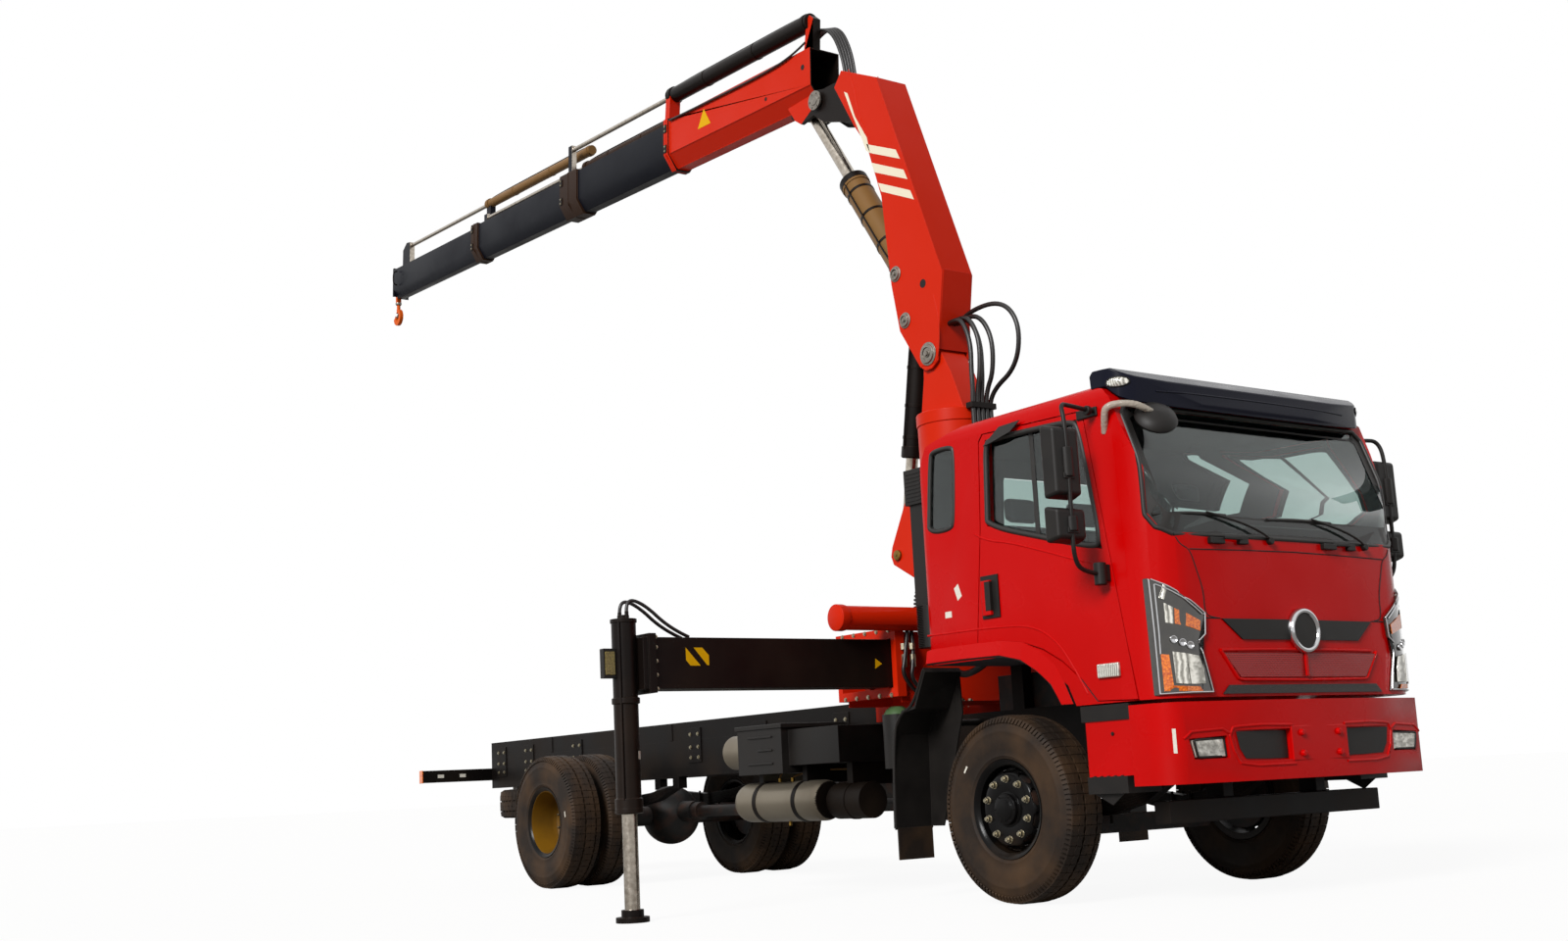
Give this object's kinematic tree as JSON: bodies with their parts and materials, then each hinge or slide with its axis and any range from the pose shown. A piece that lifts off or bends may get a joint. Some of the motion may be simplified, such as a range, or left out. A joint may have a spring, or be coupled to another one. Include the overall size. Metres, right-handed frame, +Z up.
{
  "type": "truck-mounted loader crane",
  "caption": "Two-axle truck with a forward cab and a bare frame, carrying a folding knuckle-boom loader crane with telescoping boom stages and side stabiliser legs.",
  "frame": {"origin": "middle of the object's length and width, on the ground", "axes": "+X forwards towards the cab, +Y to the truck's left, +Z up"},
  "size_m": [12.3146, 5.67, 7.0785],
  "materials": {
    "cab_red": "gloss",
    "crane_red": "gloss",
    "chassis_black": "satin",
    "boom_black": "satin",
    "rim_black": "satin",
    "ram_tan": "satin",
    "rod_chrome": "bright",
    "pin_steel": "machined",
    "tank_metal": "satin",
    "box_plastic": "ribbed",
    "trim_black": "grained",
    "visor_dark": "gloss",
    "lamp_clear": "clear",
    "cab_glazing": "tinted",
    "seat_cloth": "woven",
    "dash_grey": "grained",
    "tyre": "matt",
    "hook_orange": "gloss"
  },
  "bodies": {
    "chassis": {"frame_rails": "chassis_black", "subframe": "chassis_black", "springs": "chassis_black", "axles": "chassis_black", "driveline": "chassis_black", "spare_tyre": "tyre", "spare_rim": "rim_black", "cab_shell": "cab_red", "cab_glass": "cab_glazing", "grille": "trim_black", "headlamps": "lamp_clear", "sun_visor": "visor_dark", "dashboard": "dash_grey", "seats": "seat_cloth", "bumper": "cab_red", "fog_lamps": "lamp_clear", "front_guard": "chassis_black", "steps": "cab_red", "wheel_guards": "trim_black", "air_tanks": "tank_metal", "battery_box": "box_plastic", "fuel_tank": "tank_metal", "exhaust": "chassis_black", "rear_bar": "chassis_black", "air_intake": "trim_black", "crane_base": "crane_red"},
    "knuckle_left": {"knuckle_left": "chassis_black"},
    "knuckle_right": {"knuckle_right": "chassis_black"},
    "front_wheel_left": {"front_rim_left": "rim_black", "front_tyre_left": "tyre"},
    "front_wheel_right": {"front_rim_right": "rim_black", "front_tyre_right": "tyre"},
    "rear_wheels_left": {"rear_rims_left": "rim_black", "rear_tyres_left": "tyre"},
    "rear_wheels_right": {"rear_rims_right": "rim_black", "rear_tyres_right": "tyre"},
    "cab_door_left": {"door_left": "cab_red", "door_glass_left": "cab_glazing", "mirrors_left": "trim_black"},
    "cab_door_right": {"door_right": "cab_red", "door_glass_right": "cab_glazing", "mirrors_right": "trim_black"},
    "beam_left": {"stabiliser_left": "boom_black"},
    "beam_right": {"stabiliser_right": "boom_black"},
    "leg_left": {"leg_rod_left": "pin_steel"},
    "leg_right": {"leg_rod_right": "pin_steel"},
    "slewing_column": {"column": "crane_red"},
    "inner_boom": {"main_boom": "crane_red", "knuckle_bracket": "boom_black", "boom_pins": "pin_steel"},
    "lift_cylinder": {"lift_barrel": "boom_black"},
    "lift_piston": {"lift_rod": "rod_chrome"},
    "fold_cylinder": {"fold_barrel": "ram_tan"},
    "fold_piston": {"fold_rod": "rod_chrome"},
    "jib": {"outer_boom": "crane_red"},
    "first_extension": {"extension_a": "boom_black"},
    "second_extension": {"extension_b": "boom_black"},
    "third_extension": {"extension_c": "boom_black"},
    "load_hook": {"hook": "hook_orange"}
  },
  "joints": [
    {"name": "steer_left", "type": "hinge", "parent": "chassis", "child": "knuckle_left", "pos_m": [4.8223, 0.775, 0.525], "axis": [0, 0, 1], "range_deg": [-38, 38]},
    {"name": "steer_right", "type": "hinge", "parent": "chassis", "child": "knuckle_right", "pos_m": [4.8223, -0.775, 0.525], "axis": [0, 0, 1], "range_deg": [-38, 38]},
    {"name": "front_spin_left", "type": "hinge", "parent": "knuckle_left", "child": "front_wheel_left", "pos_m": [4.8223, 0.977, 0.525], "axis": [0, 1, 0], "continuous": true},
    {"name": "front_spin_right", "type": "hinge", "parent": "knuckle_right", "child": "front_wheel_right", "pos_m": [4.8223, -0.977, 0.525], "axis": [0, 1, 0], "continuous": true},
    {"name": "rear_spin_left", "type": "hinge", "parent": "chassis", "child": "rear_wheels_left", "pos_m": [-0.5177, 0.916, 0.525], "axis": [0, 1, 0], "continuous": true},
    {"name": "rear_spin_right", "type": "hinge", "parent": "chassis", "child": "rear_wheels_right", "pos_m": [-0.5177, -0.916, 0.525], "axis": [0, 1, 0], "continuous": true},
    {"name": "door_swing_left", "type": "hinge", "parent": "chassis", "child": "cab_door_left", "pos_m": [5.8743, 1.08, 1.8], "axis": [0, 0, -1], "range_deg": [0, 65]},
    {"name": "door_swing_right", "type": "hinge", "parent": "chassis", "child": "cab_door_right", "pos_m": [5.8743, -1.08, 1.8], "axis": [0, 0, 1], "range_deg": [0, 65]},
    {"name": "beam_slide_left", "type": "slide", "parent": "chassis", "child": "beam_left", "axis": [0, -1, 0], "range_m": [0, 1.4]},
    {"name": "beam_slide_right", "type": "slide", "parent": "chassis", "child": "beam_right", "axis": [0, 1, 0], "range_m": [0, 1.4]},
    {"name": "leg_lift_left", "type": "slide", "parent": "beam_left", "child": "leg_left", "axis": [0, 0, 1], "range_m": [0, 0.48]},
    {"name": "leg_lift_right", "type": "slide", "parent": "beam_right", "child": "leg_right", "axis": [0, 0, 1], "range_m": [0, 0.48]},
    {"name": "slew", "type": "hinge", "parent": "chassis", "child": "slewing_column", "pos_m": [3.3723, 0, 1.9], "axis": [0, 0, 1], "range_deg": [-200, 200]},
    {"name": "main_lift", "type": "hinge", "parent": "slewing_column", "child": "inner_boom", "pos_m": [3.3063, 0, 3.61], "axis": [0, 1, 0], "range_deg": [-38, 11]},
    {"name": "lift_cylinder_swing", "type": "hinge", "parent": "inner_boom", "child": "lift_cylinder", "pos_m": [3.0843, 0, 3.904], "axis": [0, 1, 0], "range_deg": [-10, 34]},
    {"name": "lift_stroke", "type": "slide", "parent": "lift_cylinder", "child": "lift_piston", "axis": [-0.1907, 0, -0.9817], "range_m": [-0.211, 0.062]},
    {"name": "jib_fold", "type": "hinge", "parent": "inner_boom", "child": "jib", "pos_m": [2.1923, 0, 5.865], "axis": [0, -1, 0], "range_deg": [-58, 34]},
    {"name": "fold_cylinder_swing", "type": "hinge", "parent": "inner_boom", "child": "fold_cylinder", "pos_m": [3.0063, 0, 4.256], "axis": [0, -1, 0], "range_deg": [-4.5, 2.7]},
    {"name": "fold_stroke", "type": "slide", "parent": "fold_cylinder", "child": "fold_piston", "axis": [-0.5442, 0, 0.8389], "range_m": [-0.091, 0.154]},
    {"name": "extend_first", "type": "slide", "parent": "jib", "child": "first_extension", "axis": [0.9982, 0, -0.0593], "range_m": [0, 1.54]},
    {"name": "extend_second", "type": "slide", "parent": "first_extension", "child": "second_extension", "axis": [0.9982, 0, -0.0593], "range_m": [0, 1.54]},
    {"name": "extend_third", "type": "slide", "parent": "second_extension", "child": "third_extension", "axis": [0.9982, 0, -0.0593], "range_m": [0, 1.54]},
    {"name": "hook_swing", "type": "hinge", "parent": "third_extension", "child": "load_hook", "pos_m": [-6.05776, 0, 6.53045], "axis": [0, 1, 0], "range_deg": [-15, 90]}
  ],
  "couplings": [
    {"joint": "steer_right", "follows": "steer_left", "ratio": 1},
    {"joint": "lift_cylinder_swing", "follows": "main_lift", "ratio": -0.8872},
    {"joint": "lift_stroke", "follows": "main_lift", "m_per_rad": 0.3165},
    {"joint": "fold_cylinder_swing", "follows": "jib_fold", "ratio": 0.072},
    {"joint": "fold_stroke", "follows": "jib_fold", "m_per_rad": -0.15}
  ]
}
